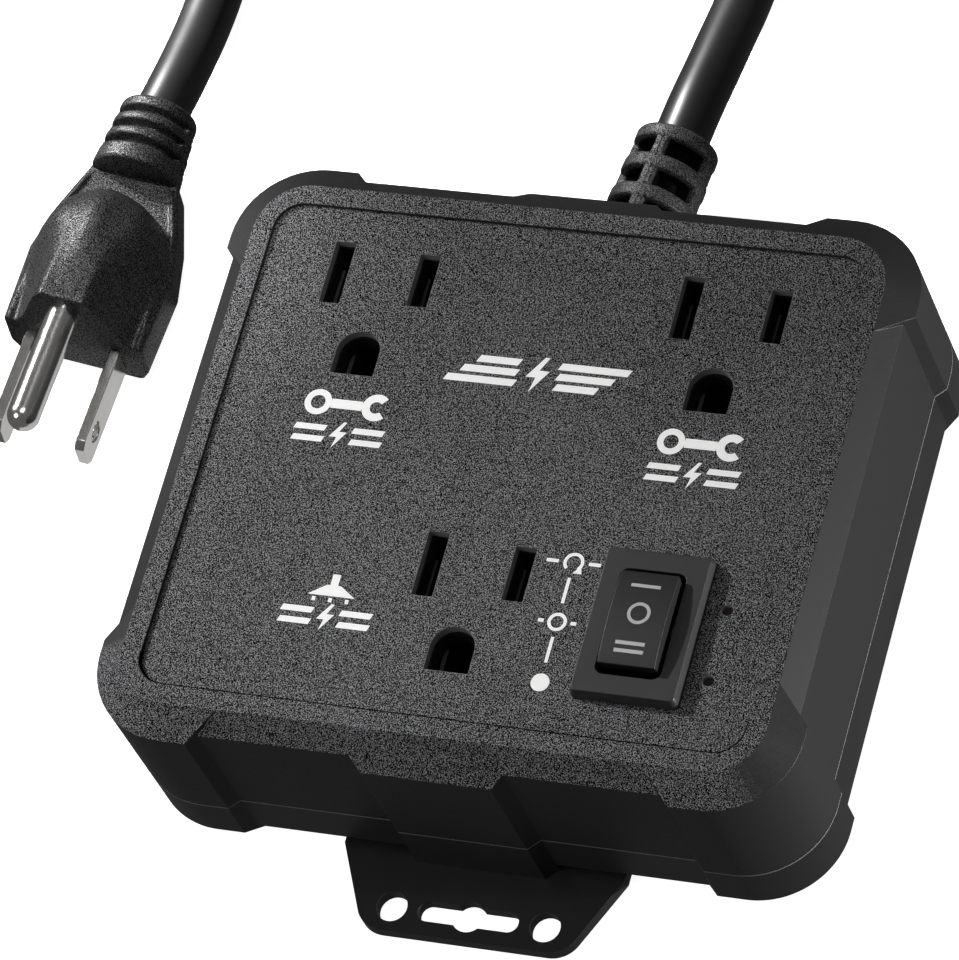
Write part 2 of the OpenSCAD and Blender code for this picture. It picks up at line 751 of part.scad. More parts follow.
// Ribbed sleeve: bands joined by four ribs, with windows between
module relief_sleeve(length, r0, r1, band, window) {
    core_r = r1 - 1.4;
    rib = 1.8;
    difference() {
        cylinder(r1 = r0, r2 = r1, h = length);
        for (z = [length - 0.9 * band - window:-(band + window):0]) translate([0, 0, z]) difference() {
            cylinder(r = r0 + 1, h = window);
            translate([0, 0, -1]) cylinder(r = core_r, h = window + 2);
            for (a = [0, 90])
                rotate([0, 0, a]) translate([-rib / 2, -r0 - 2, -1]) cube([rib, 2 * r0 + 4, window + 2]);
        }
    }
}

module strain_relief() {
    color([0.12, 0.12, 0.12]) translate([relief_x, 0, parting_h]) {
        translate([0, lead_y, 0]) rotate([-90, 0, 0])
            cylinder(r = relief_flange_r, h = inner_d / 2 - lead_y - 0.1);
        translate([0, lead_y, 0]) rotate([-90, 0, 0])
            cylinder(r = relief_neck_r, h = relief_y - lead_y + 0.5);
        translate([0, relief_y + 0.05, 0]) rotate([-90, 0, 0]) cylinder(r = relief_r0, h = 1.4);
        translate([0, relief_y + 0.9, 0]) rotate([-90, 0, -relief_lean])
            relief_sleeve(relief_l, relief_r0 - 0.1, relief_r1, relief_band, relief_window);
    }
}

module cord_lead() {
    color([0.05, 0.05, 0.05]) tube(lead_route, cord_d);
}

module cord_tail() {
    color([0.05, 0.05, 0.05]) tube(tail_route, cord_d);
}

module cord_coil() {
    color([0.05, 0.05, 0.05]) translate([coil_x, coil_y, 0]) rotate_extrude($fn = 72)
        translate([coil_r, coil_band / 2]) round_rect(coil_band, coil_band, 4);
}

// Strap round the coil's far side
module cord_tie() {
    strap_t = 0.9;
    color([0.1, 0.1, 0.1]) translate([coil_x - 4.5, coil_y + coil_r, 0]) difference() {
        translate([0, -coil_band / 2 - strap_t, 0]) cube([9, coil_band + 2 * strap_t, coil_band + strap_t]);
        translate([-1, -coil_band / 2, strap_t]) cube([11, coil_band, coil_band - strap_t]);
    }
}

// ---- plug ----

// Plan of the plug: wide at the pins, drawn in towards the shoulder
module plug_plan(inset = 0) {
    half = plug_w / 2 - inset;
    polygon([[-half + 0.3, 0], [half - 0.3, 0], [half, 12], [half - 1.5, 19], [6.6 - inset, plug_l],
        [-6.6 + inset, plug_l], [-half + 1.5, 19], [-half, 12]]);
}

// Front outline of the raised grip: a crown over the round pin with hollow flanks
module grip_front() {
    crown = plug_h - plug_slab_h;
    flank = [for (x = [2.6:0.64:9]) [x, plug_slab_h + crown * (0.5 + 0.5 * cos(180 * (x - 2.6) / 6.4))]];
    polygon(concat([[-9, 2], [9, 2]], [for (i = [len(flank) - 1:-1:0]) flank[i]],
        [for (p = flank) [-p[0], p[1]]]));
}

// Plan of the grip: straight sides and a round rear end
module grip_plan() {
    translate([0, grip_y]) circle(grip_r);
    translate([-grip_r, 0]) square([2 * grip_r, grip_y]);
}

module in_plug() {
    translate([plug_at[0], plug_at[1], plug_lift]) rotate([0, plug_roll, plug_turn]) children();
}

module plug_body() {
    foot_h = 2 * plug_foot_inset;
    color([0.12, 0.12, 0.12]) in_plug() {
        hull() {
            linear_extrude(eps) plug_plan(plug_foot_inset);
            translate([0, 0, foot_h]) linear_extrude(plug_slab_h - foot_h) plug_plan();
        }
        intersection() {
            translate([0, plug_l, 0]) rotate([90, 0, 0]) linear_extrude(plug_l) grip_front();
            linear_extrude(plug_h) grip_plan();
        }
        translate([0, plug_l - 1, plug_axis_z]) rotate([-90, 0, 0])
            relief_sleeve(plug_neck_l + 1, 6.2, 5.6, 2.1, 1.5);
    }
}

module blade(x) {
    in_plug() translate([x, 0, blade_z]) difference() {
        translate([-blade_t / 2, -blade_l, -blade_w / 2]) cube([blade_t, blade_l, blade_w]);
        translate([-blade_t, -blade_hole_y, 0]) rotate([0, 90, 0])
            cylinder(r = blade_hole_r, h = 2 * blade_t);
        for (s = [-1, 1]) translate([0, -blade_l, s * blade_w / 2]) rotate([45, 0, 0])
            cube([2 * blade_t, 1.6, 1.6], center = true);
    }
}

module plug_hot_blade() {
    color("silver") blade(pin_gap / 2);
}

module plug_neutral_blade() {
    color("silver") blade(-pin_gap / 2);
}

module plug_ground_pin() {
    color("silver") in_plug() translate([0, 0, blade_z + ground_gap]) rotate([90, 0, 0]) {
        cylinder(r = pin_r, h = pin_l - pin_r);
        translate([0, 0, pin_l - pin_r]) sphere(r = pin_r);
    }
}

// ---- nodes ----

top_cover();
bottom_cover();
cover_screws();
receptacle_left();
receptacle_right();
receptacle_vac();
tool_retainer();
vac_retainer();
retainer_screws();
neutral_bus();
tool_hot_bus();
ground_bus();
vac_neutral_contact();
vac_hot_contact();
switch_body();
switch_rocker();
rocker_plunger();
switch_contact_arm();
switch_terminals();
circuit_board();
board_screws();
relay();
current_transformer();
supply_capacitor();
controller_chip();
led_board();
indicator_leds();
strain_relief();
hot_lead();
neutral_lead();
ground_lead();
tool_lead();
board_neutral_lead();
switch_leads();
led_lead();
cord_lead();
cord_coil();
cord_tail();
cord_tie();
plug_body();
plug_hot_blade();
plug_neutral_blade();
plug_ground_pin();
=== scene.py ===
"""Power box with three grounded outlets, a rocker switch and a mains lead with its plug."""
import math

import bpy
import bmesh
from mathutils import Matrix, Vector


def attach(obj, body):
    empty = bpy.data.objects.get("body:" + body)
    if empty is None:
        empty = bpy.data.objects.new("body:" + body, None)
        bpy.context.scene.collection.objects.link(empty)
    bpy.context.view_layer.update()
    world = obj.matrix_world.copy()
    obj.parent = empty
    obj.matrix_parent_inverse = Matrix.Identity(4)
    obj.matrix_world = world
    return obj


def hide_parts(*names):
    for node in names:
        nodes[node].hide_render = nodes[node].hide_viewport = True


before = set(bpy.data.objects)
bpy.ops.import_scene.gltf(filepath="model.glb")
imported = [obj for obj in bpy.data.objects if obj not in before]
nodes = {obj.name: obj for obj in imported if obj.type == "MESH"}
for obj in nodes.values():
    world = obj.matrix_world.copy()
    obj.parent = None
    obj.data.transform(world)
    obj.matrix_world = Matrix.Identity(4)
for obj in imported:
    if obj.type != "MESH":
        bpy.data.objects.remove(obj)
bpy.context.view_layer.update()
MM = 0.001

# Top of the sunk panel
PANEL_Z = 33.6
# Painted light: a pale grey band on the walls inside the openings of the panel, which stands in for light
# falling there; its depth, and the half sizes of the rectangle it stays in
LIT_BAND_DEEP = 1.4
LIT_BAND_HALF_X = 42
LIT_BAND_HALF_Y = 36
LIT_BAND_GREY = (0.22, 0.22, 0.22, 1)
# Grain and the panel's shaded line are bounded by where the front slopes begin, in metres
FRONT_FROM = -0.034
FRONT_TO = -0.03

# Strain relief: root on the back wall, lean from +Y and length
RELIEF_AT = (0.4, 45.6, 11.5)
RELIEF_LEAN = -6.8
RELIEF_L = 19.2


# ---- camera -----------------------------------------------------------------

# Where the camera stands in metres, its focal length in mm, and the directions of the picture's
# right side, its lower side and the line of sight
CAMERA_AT = (0.32194, -0.37985, 0.80725)
LENS = 257.45
VIEW_RIGHT = (0.92975, 0.25454, -0.26604)
VIEW_DOWN = (0.10467, -0.87546, -0.47182)
VIEW_AHEAD = (-0.353, 0.41082, -0.8406)


def set_camera():
    right, down, ahead = Vector(VIEW_RIGHT), Vector(VIEW_DOWN), Vector(VIEW_AHEAD)
    cam = bpy.data.cameras.new("camera")
    obj = bpy.data.objects.new("camera", cam)
    bpy.context.collection.objects.link(obj)
    turn = Matrix((right, -down, -ahead)).transposed()
    obj.matrix_world = Matrix.Translation(CAMERA_AT) @ turn.to_4x4()
    cam.sensor_width = 36
    cam.lens = LENS
    cam.clip_start = 0.01
    bpy.context.scene.camera = obj


set_camera()


# ---- materials --------------------------------------------------------------

class Nodes:
    """Short names for building one node material."""

    def __init__(self, name):
        self.mat = bpy.data.materials.new(name)
        self.mat.use_nodes = True
        self.tree = self.mat.node_tree
        self.bsdf = self.tree.nodes["Principled BSDF"]
        self.coord = self.add("ShaderNodeTexCoord").outputs["Object"]
        turned = self.add("ShaderNodeMapping")
        turned.inputs["Rotation"].default_value = (0.7, 0.5, 0.3)
        self.link(self.coord, turned.inputs["Vector"])
        self.grain_coord = turned.outputs["Vector"]

    def add(self, kind, **values):
        node = self.tree.nodes.new(kind)
        for key, value in values.items():
            if key in node.inputs:
                node.inputs[key].default_value = value
            else:
                setattr(node, key, value)
        return node

    def link(self, a, b):
        self.tree.links.new(a, b)

    def noise(self, size, detail=2.0, rough=0.5):
        n = self.add("ShaderNodeTexNoise", Scale=1 / size, Detail=detail, Roughness=rough)
        self.link(self.grain_coord, n.inputs["Vector"])
        return n.outputs["Fac"]

    def ramp(self, fac, stops):
        n = self.add("ShaderNodeValToRGB")
        e = n.color_ramp.elements
        while len(e) < len(stops):
            e.new(0.5)
        for el, (pos, col) in zip(e, stops):
            el.position = pos
            el.color = (*col, 1) if len(col) == 3 else col
        self.link(fac, n.inputs["Fac"])
        return n.outputs["Color"]

    def maths(self, op, a, b):
        n = self.add("ShaderNodeMath", operation=op)
        for i, v in enumerate((a, b)):
            if isinstance(v, (int, float)):
                n.inputs[i].default_value = v
            else:
                self.link(v, n.inputs[i])
        return n.outputs[0]

    def span(self, value, low, high):
        """0 at or below low, 1 at or above high."""
        n = self.add("ShaderNodeMapRange")
        n.inputs["From Min"].default_value = low
        n.inputs["From Max"].default_value = high
        self.link(value, n.inputs["Value"])
        return n.outputs["Result"]

    def xyz(self, vector):
        n = self.add("ShaderNodeSeparateXYZ")
        self.link(vector, n.inputs[0])
        return n.outputs["X"], n.outputs["Y"], n.outputs["Z"]

    def band(self, z, half):
        """1 within half a width of a height."""
        off = self.maths("ABSOLUTE", self.maths("SUBTRACT", self.xyz(self.coord)[2], z), 0)
        return self.maths("LESS_THAN", off, half)

    def painted_hollow_shade(self, at, lean, radius):
        """1 nearer than a radius to a line that leaves a point, level and leaning from +Y: where painted
        shade darkens the inside of a sleeve.
        """
        x, y, z = self.xyz(self.coord)
        drift = self.maths("MULTIPLY", self.maths("SUBTRACT", y, at[1] * MM), -math.tan(math.radians(lean)))
        dx = self.maths("SUBTRACT", self.maths("SUBTRACT", x, at[0] * MM), drift)
        dz = self.maths("SUBTRACT", z, at[2] * MM)
        off = self.maths("ADD", self.maths("MULTIPLY", dx, dx), self.maths("MULTIPLY", dz, dz))
        return self.maths("SUBTRACT", 1.0, self.span(self.maths("SQRT", off, 0), radius - 0.0006, radius))

    def topside(self, least):
        """1 on the top and on the slopes in front, 0 on walls and the other slopes, which get a smooth,
        darker colour: partly the smooth finish of the walls, partly painted shade.
        """
        x, y, z = self.xyz(self.add("ShaderNodeNewGeometry").outputs["True Normal"])
        behind = self.span(self.xyz(self.coord)[1], FRONT_FROM, FRONT_TO)
        left = self.maths("MULTIPLY", self.maths("MULTIPLY", x, -1.0), behind)
        aside = self.span(self.maths("MAXIMUM", self.maths("MAXIMUM", x, y), left), 0.2, 0.4)
        return self.maths("MULTIPLY", self.span(z, least, least + 0.03), self.maths("SUBTRACT", 1.0, aside))

    def painted_lit_band(self, top, deep, half_x, half_y):
        """1 down to a depth below a height, within a rectangle centred on the part: where the band of painted
        light goes.
        """
        x, y, z = self.xyz(self.coord)
        across = self.maths("LESS_THAN", self.maths("ABSOLUTE", x, 0), half_x)
        along = self.maths("LESS_THAN", self.maths("ABSOLUTE", y, 0), half_y)
        near = self.maths("GREATER_THAN", z, top - deep)
        return self.maths("MULTIPLY", near, self.maths("MULTIPLY", across, along))

    def recess_shade_mask(self, half_x, half_y, corner, width):
        """1 within a line along the front side of a rounded rectangle centred on the part: where painted
        shade is drawn at the sunk panel's front edge.
        """
        x, y, _ = self.xyz(self.coord)
        px = self.maths("MAXIMUM", self.maths("SUBTRACT", self.maths("ABSOLUTE", x, 0), half_x - corner), 0)
        py = self.maths("MAXIMUM", self.maths("SUBTRACT", self.maths("ABSOLUTE", y, 0), half_y - corner), 0)
        out = self.maths("SQRT", self.maths("ADD", self.maths("MULTIPLY", px, px),
                                            self.maths("MULTIPLY", py, py)), 0)
        off = self.maths("ABSOLUTE", self.maths("SUBTRACT", out, corner), 0)
        line = self.maths("SUBTRACT", 1.0, self.span(off, width * 0.35, width * 0.65))
        return self.maths("MULTIPLY", line, self.maths("SUBTRACT", 1.0, self.span(y, FRONT_FROM, FRONT_TO)))

    def mix(self, fac, a, b):
        n = self.add("ShaderNodeMix", data_type="RGBA")
        for socket, v in zip((n.inputs[0], n.inputs[6], n.inputs[7]), (fac, a, b)):
            if isinstance(v, (float, tuple)):
                socket.default_value = v
            else:
                self.link(v, socket)
        return n.outputs[2]

    def bump(self, height, strength, distance):
        n = self.add("ShaderNodeBump", Distance=distance)
        if isinstance(strength, float):
            n.inputs["Strength"].default_value = strength
        else:
            self.link(strength, n.inputs["Strength"])
        self.link(height, n.inputs["Height"])
        return n.outputs["Normal"]


def scaled(c, k):
    return tuple(min(1.0, v * k) for v in c)


def moulded(name, colour, rough=0.45, grain=0.0003, depth=0.00006, speckle=0.9, spec=0.5,
            topside=None, recess_shade=None, edge=None, painted_hollow_shade=None):
    """Moulded plastic or rubber with spark-eroded grain, drawn as specks of random tone whose brightest ones
    are painted glints of the grain.

    topside keeps the grain to the top and front slopes; its value is the least upward normal. Elsewhere the
    colour is smooth and darker, partly a smooth finish and partly painted shade, with a band of painted light
    inside the openings of the panel.
    seam is (half width, half depth, corner radius, line width) of a line of painted shade in front of a sunk
    panel, where its step throws shadow.
    edge is (height, half its width, colour) of a line round a part where two covers meet; on the top cover it
    is near-black painted shade in the gap.
    hollow is (root, lean, radius) of painted shade that darkens the inside of a sleeve, seen through its
    windows."""
    n = Nodes(name)
    fine = n.noise(grain, 0.6, 0.5)
    coarse = n.noise(grain * 2.6, 1.0, 0.5)
    cloud = n.noise(0.03, 2.0)
    height = n.maths("ADD", fine, n.maths("MULTIPLY", coarse, 0.4))
    tone = n.maths("ADD", n.maths("MULTIPLY", fine, 0.96), n.maths("MULTIPLY", cloud, 0.04))
    # random tone of the grain; the brightest specks are painted glints
    colour_with_painted_light = n.ramp(tone, [(0.40, scaled(colour, 1 - speckle)), (0.48, scaled(colour, 0.8 - 0.7 * speckle)),
                           (0.53, scaled(colour, 1 + 2 * speckle)), (0.61, scaled(colour, 1 + 11 * speckle))])
    shine = n.maths("MULTIPLY", n.span(tone, 0.42, 0.56), spec)
    strength = 1.0
    if topside is not None:
        mask = n.topside(topside)
        # band of painted light on the walls just inside the openings of the panel
        painted_lit_band = n.painted_lit_band(PANEL_Z * MM, LIT_BAND_DEEP * MM, LIT_BAND_HALF_X * MM, LIT_BAND_HALF_Y * MM)
        # walls and side slopes: smooth colour at 0.62, partly the smooth finish and partly painted shade;
        # inside the openings, the band of painted light
        walls = n.mix(painted_lit_band, (*scaled(colour, 0.62), 1), LIT_BAND_GREY)
        colour_with_painted_light = n.mix(mask, walls, colour_with_painted_light)
        shine = n.maths("ADD", n.maths("MULTIPLY", n.maths("SUBTRACT", shine, spec), mask), spec)
        strength = n.maths("ADD", n.maths("MULTIPLY", mask, 0.9), 0.1)
    if recess_shade is not None:
        # painted shade along the front edge of the sunk panel
        line = n.recess_shade_mask(*recess_shade)
        colour_with_painted_light = n.mix(line, colour_with_painted_light, (*scaled(colour, 0.12), 1))
        shine = n.maths("MULTIPLY", shine, n.maths("SUBTRACT", 1.0, line))
    if painted_hollow_shade is not None:
        # near-black painted shade inside the sleeve's windows
        deep = n.painted_hollow_shade(*painted_hollow_shade)
        colour_with_painted_light = n.mix(deep, colour_with_painted_light, (0.0015, 0.0015, 0.0015, 1))
        shine = n.maths("MULTIPLY", shine, n.maths("SUBTRACT", 1.0, n.maths("MULTIPLY", deep, 0.9)))
    # painted shade in the gap where the two covers meet
    if edge is not None:
        colour_with_painted_light = n.mix(n.band(*edge[:2]), colour_with_painted_light, (*edge[2], 1))
    n.link(colour_with_painted_light, n.bsdf.inputs["Base Color"])
    n.link(n.maths("ADD", n.maths("MULTIPLY", coarse, 0.2), rough - 0.1), n.bsdf.inputs["Roughness"])
    n.link(shine, n.bsdf.inputs["Specular IOR Level"])
    n.link(n.bump(height, strength, depth), n.bsdf.inputs["Normal"])
    return n.mat


def satin(name, colour, rough=0.35, wave=0.00001, edge=None, glow=0.0):
    """Smooth moulded plastic with a faint waviness; edge paints a highlight line round a part, and glow lifts
    a pale print by its own light.
    """
    n = Nodes(name)
    cloud = n.noise(0.012, 3.0)
    fine = n.noise(0.0003, 2.0)
    tone = n.ramp(cloud, [(0.3, scaled(colour, 0.9)), (0.7, scaled(colour, 1.1))])
    # painted highlight: a pale line round the part, where the covers meet
    if edge is not None:
        tone = n.mix(n.band(*edge[:2]), tone, (*edge[2], 1))
    n.link(tone, n.bsdf.inputs["Base Color"])
    n.bsdf.inputs["Emission Color"].default_value = (*colour, 1)
    n.bsdf.inputs["Emission Strength"].default_value = glow
    n.link(n.maths("ADD", n.maths("MULTIPLY", cloud, 0.12), rough - 0.06), n.bsdf.inputs["Roughness"])
    n.bsdf.inputs["Specular IOR Level"].default_value = 0.5
    n.link(n.bump(fine, 0.6, wave), n.bsdf.inputs["Normal"])
    return n.mat


def metal(name, colour, rough):
    """Plated or bare metal with fine scratches."""
    n = Nodes(name)
    scratch = n.noise(0.0004, 4.0)
    cloud = n.noise(0.006, 2.0)
    tone = n.ramp(cloud, [(0.3, scaled(colour, 0.93)), (0.7, scaled(colour, 1.05))])
    n.link(tone, n.bsdf.inputs["Base Color"])
    n.bsdf.inputs["Metallic"].default_value = 1.0
    n.link(n.maths("ADD", n.maths("MULTIPLY", scratch, 0.14), rough - 0.07), n.bsdf.inputs["Roughness"])
    n.link(n.bump(scratch, 0.5, 0.00001), n.bsdf.inputs["Normal"])
    return n.mat


# Top cover: grain with painted glints, walls and sides partly in painted shade, a band of painted light
# inside the openings, painted shade along the sunk panel's front edge and in the gap at the parting
FACE = moulded("face_plastic", (0.026, 0.026, 0.027), rough=0.5, grain=0.00014, depth=0.00005,
               topside=0.4, recess_shade=(0.043, 0.0373, 0.004, 0.0004),
               edge=(0.0116, 0.00012, (0.001, 0.001, 0.001)))
# Tray: its pale line at the parting is a painted highlight
TRAY = satin("tray_plastic_satin", (0.014, 0.014, 0.0145), rough=0.4,
             edge=(0.0114, 0.00013, (0.2, 0.2, 0.2)))
FRAME = satin("switch_frame_satin", (0.03, 0.03, 0.031), rough=0.42, wave=0.00002)
ROCKER = satin("rocker_satin", (0.015, 0.015, 0.016), rough=0.45, wave=0.00002)
INNER = satin("inner_plastic_matte", (0.006, 0.006, 0.006), rough=0.6)
# Strain relief: grain, with painted shade inside its windows
RELIEF = moulded("relief_rubber_grained", (0.022, 0.022, 0.023), rough=0.48, grain=0.00016, speckle=0.2,
                 painted_hollow_shade=(RELIEF_AT, RELIEF_LEAN, 0.0056))
PLUG = moulded("plug_rubber_grained", (0.012, 0.012, 0.0125), rough=0.38, grain=0.00016, speckle=0.3)
CORD = satin("lead_sheath", (0.006, 0.006, 0.0065), rough=0.35, wave=0.000008)
STRAP = moulded("tie_fabric_woven", (0.02, 0.02, 0.02), rough=0.8, grain=0.0006, depth=0.0001)
NICKEL = metal("nickel_plate", (0.80, 0.79, 0.77), rough=0.16)
STEEL = metal("zinc_steel", (0.55, 0.55, 0.57), rough=0.3)
BRASS = metal("contact_brass_dull", (0.1, 0.095, 0.085), rough=0.5)
COPPER = metal("contact_copper_bright", (0.78, 0.42, 0.26), rough=0.25)
TIN = metal("tinned_terminal", (0.66, 0.66, 0.66), rough=0.35)
# the print's ink glows by its own light: painted light that lifts it
WHITE = satin("white_ink", (0.82, 0.82, 0.81), rough=0.55, glow=0.3)
NATURAL = satin("natural_nylon", (0.72, 0.71, 0.66), rough=0.5)
GREEN = satin("solder_mask", (0.012, 0.09, 0.03), rough=0.3)
BLUE = satin("relay_case_blue", (0.02, 0.06, 0.24), rough=0.3)
CORE = satin("taped_core", (0.45, 0.28, 0.03), rough=0.5)
AMBER = satin("capacitor_case", (0.5, 0.36, 0.02), rough=0.4)
CHIP = moulded("chip_epoxy", (0.01, 0.01, 0.01), rough=0.5, grain=0.0002, depth=0.00002, speckle=0.2)
WIRE_BLACK = satin("wire_black_satin", (0.01, 0.01, 0.01), rough=0.4)
WIRE_WHITE = satin("wire_white_satin", (0.7, 0.7, 0.68), rough=0.4)
WIRE_GREEN = satin("wire_green_satin", (0.02, 0.22, 0.05), rough=0.4)
LED = satin("indicator_lens_smoked", (0.02, 0.012, 0.012), rough=0.12)
MARK = satin("mark_grey", (0.55, 0.55, 0.55), rough=0.5)

NODE_LOOK = {
    "top_cover": FACE, "bottom_cover": TRAY, "cover_screws": STEEL, "receptacle_left": INNER,
    "receptacle_right": INNER, "receptacle_vac": INNER, "tool_retainer": INNER,
    "vac_retainer": INNER, "retainer_screws": STEEL, "neutral_bus": BRASS, "tool_hot_bus": BRASS,
    "ground_bus": BRASS, "vac_neutral_contact": BRASS, "vac_hot_contact": BRASS,
    "switch_body": FRAME, "switch_rocker": ROCKER, "rocker_plunger": NATURAL,
    "switch_contact_arm": COPPER, "switch_terminals": TIN, "circuit_board": GREEN,
    "board_screws": STEEL, "relay": BLUE, "current_transformer": CORE,
    "supply_capacitor": AMBER, "controller_chip": CHIP, "led_board": GREEN,
    "indicator_leds": LED, "strain_relief": RELIEF, "hot_lead": WIRE_BLACK,
    "neutral_lead": WIRE_WHITE, "ground_lead": WIRE_GREEN, "tool_lead": WIRE_BLACK,
    "board_neutral_lead": WIRE_WHITE, "switch_leads": WIRE_BLACK, "led_lead": WIRE_BLACK,
    "cord_lead": CORD, "cord_coil": CORD, "cord_tail": CORD, "cord_tie": STRAP,
    "plug_body": PLUG, "plug_hot_blade": NICKEL, "plug_neutral_blade": NICKEL,
    "plug_ground_pin": NICKEL,
}
for name, obj in nodes.items():
    for s in obj.material_slots:
        s.material = NODE_LOOK[name]


def soften(name, width):
    """Small moulded radius on a carried-over part's edges."""
    obj = nodes[name]
    weld = obj.modifiers.new("weld", "WELD")
    weld.merge_threshold = 2e-6
    flat = obj.modifiers.new("flat", "DECIMATE")
    flat.decimate_type = "DISSOLVE"
    flat.angle_limit = math.radians(0.6)
    edge = obj.modifiers.new("edge", "BEVEL")
    edge.width = width
    edge.segments = 2
    edge.limit_method = "ANGLE"
    edge.angle_limit = math.radians(32)
    edge.use_clamp_overlap = True
    even = obj.modifiers.new("even", "WEIGHTED_NORMAL")
    even.weight = 100
    for p in obj.data.polygons:
        p.use_smooth = True


# ---- mesh helpers -----------------------------------------------------------

def make(name, verts, faces, material, body, smooth=True):
    """Mesh piece in one material that rides on a body."""
    me = bpy.data.meshes.new(name)
    me.from_pydata([tuple(v) for v in verts], [], faces)
    me.validate()
    obj = bpy.data.objects.new(name, me)
    bpy.context.collection.objects.link(obj)
    me.materials.append(material)
    for p in me.polygons:
        p.use_smooth = smooth
    bm = bmesh.new()
    bm.from_mesh(me)
    bmesh.ops.recalc_face_normals(bm, faces=bm.faces)
    bm.to_mesh(me)
    bm.free()
    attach(obj, body)
    return obj


def loft(rings):
    """Vertices and faces of a closed tube through rings of equal length, capped at both ends."""
    n = len(rings[0])
    verts = [p for r in rings for p in r]
    faces = []
    for i in range(len(rings) - 1):
        for k in range(n):
            m = (k + 1) % n
            faces.append((i * n + k, i * n + m, (i + 1) * n + m, (i + 1) * n + k))
    faces.append(tuple(reversed(range(n))))
    faces.append(tuple((len(rings) - 1) * n + k for k in range(n)))
    return verts, faces


def smooth_step(t):
    t = max(0.0, min(1.0, t))
    return t * t * (3 - 2 * t)


# ---- mains lead -------------------------------------------------------------

LEAD = [(2.7, 64.7, 11.5), (3.4, 71, 11.35), (4, 77, 10.6), (4.4, 83, 9.5), (4.7, 89, 8.2),
        (4.7, 95, 6.8), (4.5, 101, 5.5), (4.4, 107, 4.6), (4.9, 114, 4.1), (6.2, 123, 4),
        (8.4, 134, 4), (10.8, 146, 4), (12, 158, 4)]
TAIL = [(-84, 158, 4), (-83.8, 147, 4), (-83, 136, 4), (-81.9, 125, 4), (-80.4, 114, 4),
        (-78.8, 104, 4.05), (-77.4, 95, 4.5), (-76.5, 86.5, 5.6), (-76.15, 79.5, 6.9),
        (-76.1, 73.5, 8.2), (-76.35, 67.8, 9.3), (-76.95, 62.4, 9.95)]
COIL_AT = (-36, 158)
# Angle, radius and height of the winding where it changes lane
LANES = [(0, 48, 4), (20, 48, 4), (100, 40, 4), (300, 40, 4), (375, 40, 12), (590, 40, 12),
         (660, 48, 12), (820, 48, 12), (900, 48, 4)]


def coil_points():
    """Points of the winding, 15 degrees apart."""
    out = []
    for a in range(0, 901, 15):
        for (a0, r0, z0), (a1, r1, z1) in zip(LANES, LANES[1:]):
            if a0 <= a <= a1:
                t = smooth_step((a - a0) / (a1 - a0))
                r, z = r0 + (r1 - r0) * t, z0 + (z1 - z0) * t
                break
        c = math.radians(a)
        out.append((COIL_AT[0] + r * math.cos(c), COIL_AT[1] + r * math.sin(c), z))
    return out


def make_lead():
    pts = [Vector(p) * MM for p in LEAD + coil_points()[1:-1] + TAIL]
    cu = bpy.data.curves.new("mains_lead", "CURVE")
    cu.dimensions = "3D"
    cu.bevel_depth = 0.004
    cu.bevel_resolution = 7
    cu.resolution_u = 8
    cu.use_fill_caps = True
    sp = cu.splines.new("BEZIER")
    sp.bezier_points.add(len(pts) - 1)
    for i, p in enumerate(pts):
        a, b = pts[max(i - 1, 0)], pts[min(i + 1, len(pts) - 1)]
        h = (b - a) / 6 if 0 < i < len(pts) - 1 else (b - a) / 3
        q = sp.bezier_points[i]
        q.handle_left_type = q.handle_right_type = "FREE"
        q.co, q.handle_left, q.handle_right = p, p - h, p + h
    obj = bpy.data.objects.new("mains_lead", cu)
    bpy.context.collection.objects.link(obj)
    cu.materials.append(CORD)
    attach(obj, "box")
    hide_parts("cord_lead", "cord_coil", "cord_tail")
    return obj, pts[0]


# ---- ribbed sleeves ---------------------------------------------------------

# Points round a sleeve, and the spacing of its rings
AROUND = 144
RING_STEP = 0.14


def ribbed(place, length, radii, windows, core, is_rib):
    """Rings of a sleeve whose bands are joined by ribs. place maps (across, along, up) in mm."""
    def outer(s):
        r = radii(s)
        edges = [0, length] + [e for w in windows for e in w]
        near = min(abs(s - e) for e in edges)
        return r - 0.3 * max(0.0, 1 - near / 0.6) ** 2

    def open_share(s):
        return max([smooth_step((min(s - a, b - s) + 0.12) / 0.24) for a, b in windows] or [0])

    rings = []
    count = round(length / RING_STEP)
    for i in range(count + 1):
        s = length * i / count
        ring = []
        for k in range(AROUND):
            c = 2 * math.pi * k / AROUND
            x, z = math.cos(c), math.sin(c)
            r = outer(s)
            solid = is_rib(x * r, z * r)
            r_rib = radii(s) - 0.05
            deep = open_share(s)
            r = r + (r_rib * solid + core * (1 - solid) - r) * deep
            ring.append(place @ Vector((x * r, s, z * r)) * MM)
        rings.append(ring)
    return rings


def rib_share(offset, half):
    """1 on a rib of a half width, 0 beside it."""
    return 1 - smooth_step((abs(offset) - half + 0.15) / 0.3)


def relief_radius(s):
    return 6.5 - 0.45 * s / RELIEF_L


